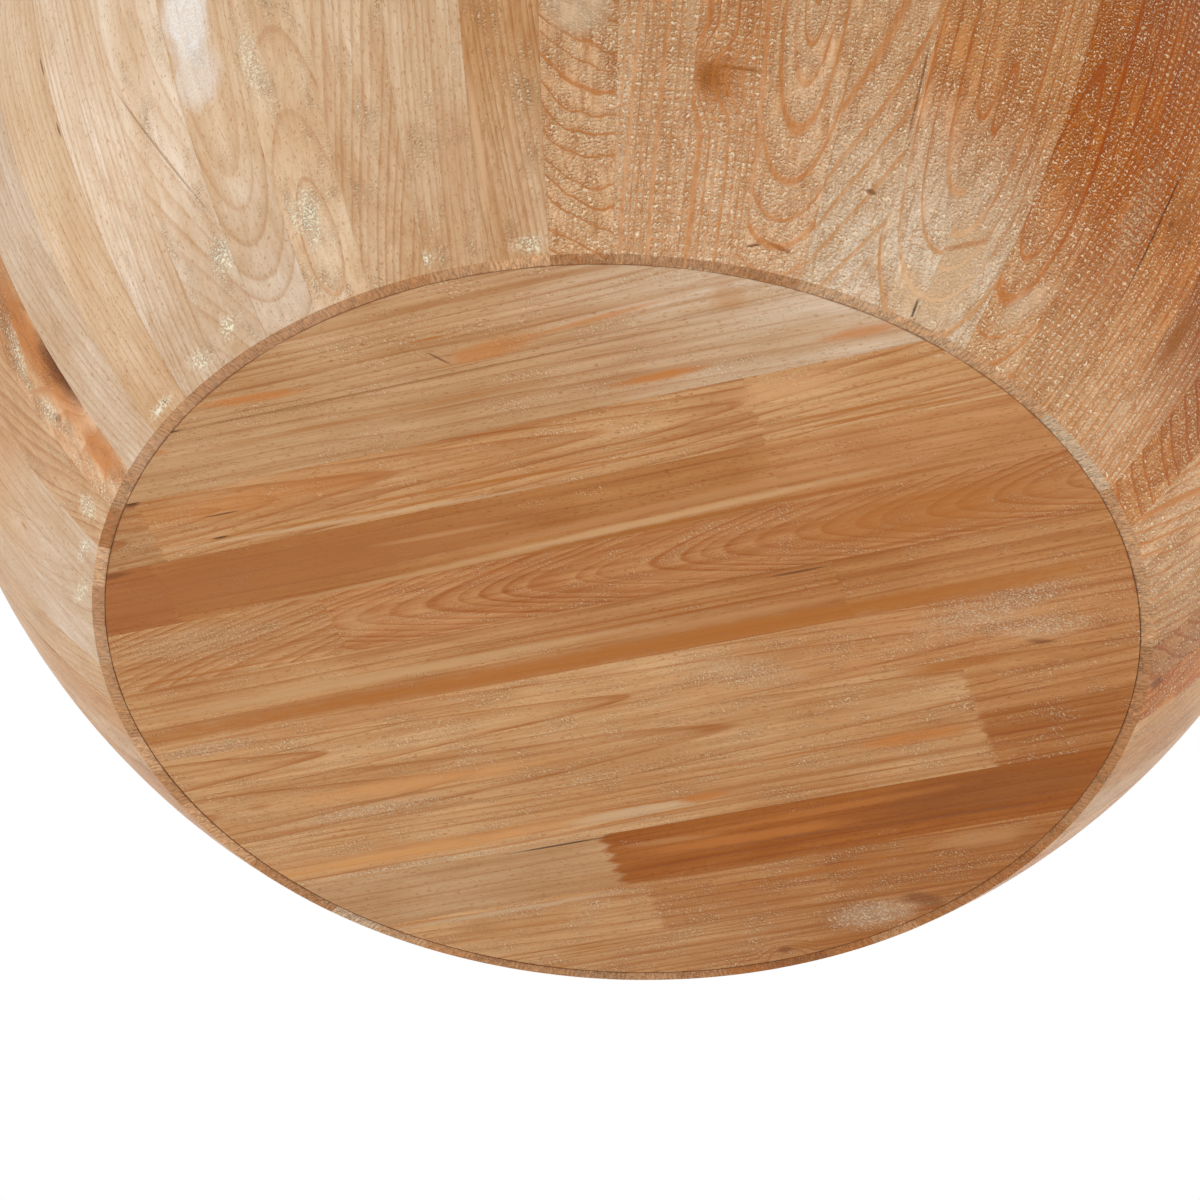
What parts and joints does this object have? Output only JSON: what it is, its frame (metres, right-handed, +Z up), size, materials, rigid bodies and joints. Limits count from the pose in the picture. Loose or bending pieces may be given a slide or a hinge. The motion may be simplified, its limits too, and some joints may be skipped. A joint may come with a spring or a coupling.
{
  "type": "round drum coffee table",
  "caption": "Low round coffee table: a hollow drum of upright wooden staves that swells towards the top, closed flush at each end by a panel of edge-glued boards.",
  "frame": {"origin": "centre of the foot, on the floor", "axes": "+Z up along the drum's axis; -Y is the side of the wall that the picture shows"},
  "size_m": [0.8, 0.8, 0.35],
  "materials": {
    "stave_wood": "wire-brushed softwood, waxed, satin",
    "base_wood": "rough sanded edge-glued boards, matt",
    "top_wood": "sanded edge-glued boards, satin",
    "batten_wood": "planed softwood, unfinished",
    "screw_steel": "zinc plated"
  },
  "bodies": {
    "root": {"stave_01": "stave_wood", "stave_02": "stave_wood", "stave_03": "stave_wood", "stave_04": "stave_wood", "stave_05": "stave_wood", "stave_06": "stave_wood", "stave_07": "stave_wood", "stave_08": "stave_wood", "stave_09": "stave_wood", "stave_10": "stave_wood", "stave_11": "stave_wood", "stave_12": "stave_wood", "stave_13": "stave_wood", "stave_14": "stave_wood", "stave_15": "stave_wood", "stave_16": "stave_wood", "stave_17": "stave_wood", "stave_18": "stave_wood", "stave_19": "stave_wood", "stave_20": "stave_wood", "stave_21": "stave_wood", "stave_22": "stave_wood", "stave_23": "stave_wood", "stave_24": "stave_wood", "stave_25": "stave_wood", "stave_26": "stave_wood", "stave_27": "stave_wood", "stave_28": "stave_wood", "stave_29": "stave_wood", "stave_30": "stave_wood", "stave_31": "stave_wood", "base_board_01": "base_wood", "base_board_02": "base_wood", "base_board_03": "base_wood", "base_board_04": "base_wood", "base_board_05": "base_wood", "base_board_06": "base_wood", "base_board_07": "base_wood", "base_board_08": "base_wood", "base_board_09": "base_wood", "base_board_10": "base_wood", "base_board_11": "base_wood", "base_board_12": "base_wood", "top_board_01": "top_wood", "top_board_02": "top_wood", "top_board_03": "top_wood", "top_board_04": "top_wood", "top_board_05": "top_wood", "top_board_06": "top_wood", "top_board_07": "top_wood", "top_board_08": "top_wood", "top_board_09": "top_wood", "top_board_10": "top_wood", "top_board_11": "top_wood", "top_board_12": "top_wood", "top_board_13": "top_wood", "top_board_14": "top_wood", "top_batten_left": "batten_wood", "top_batten_right": "batten_wood", "batten_screws": "screw_steel"}
  },
  "joints": []
}
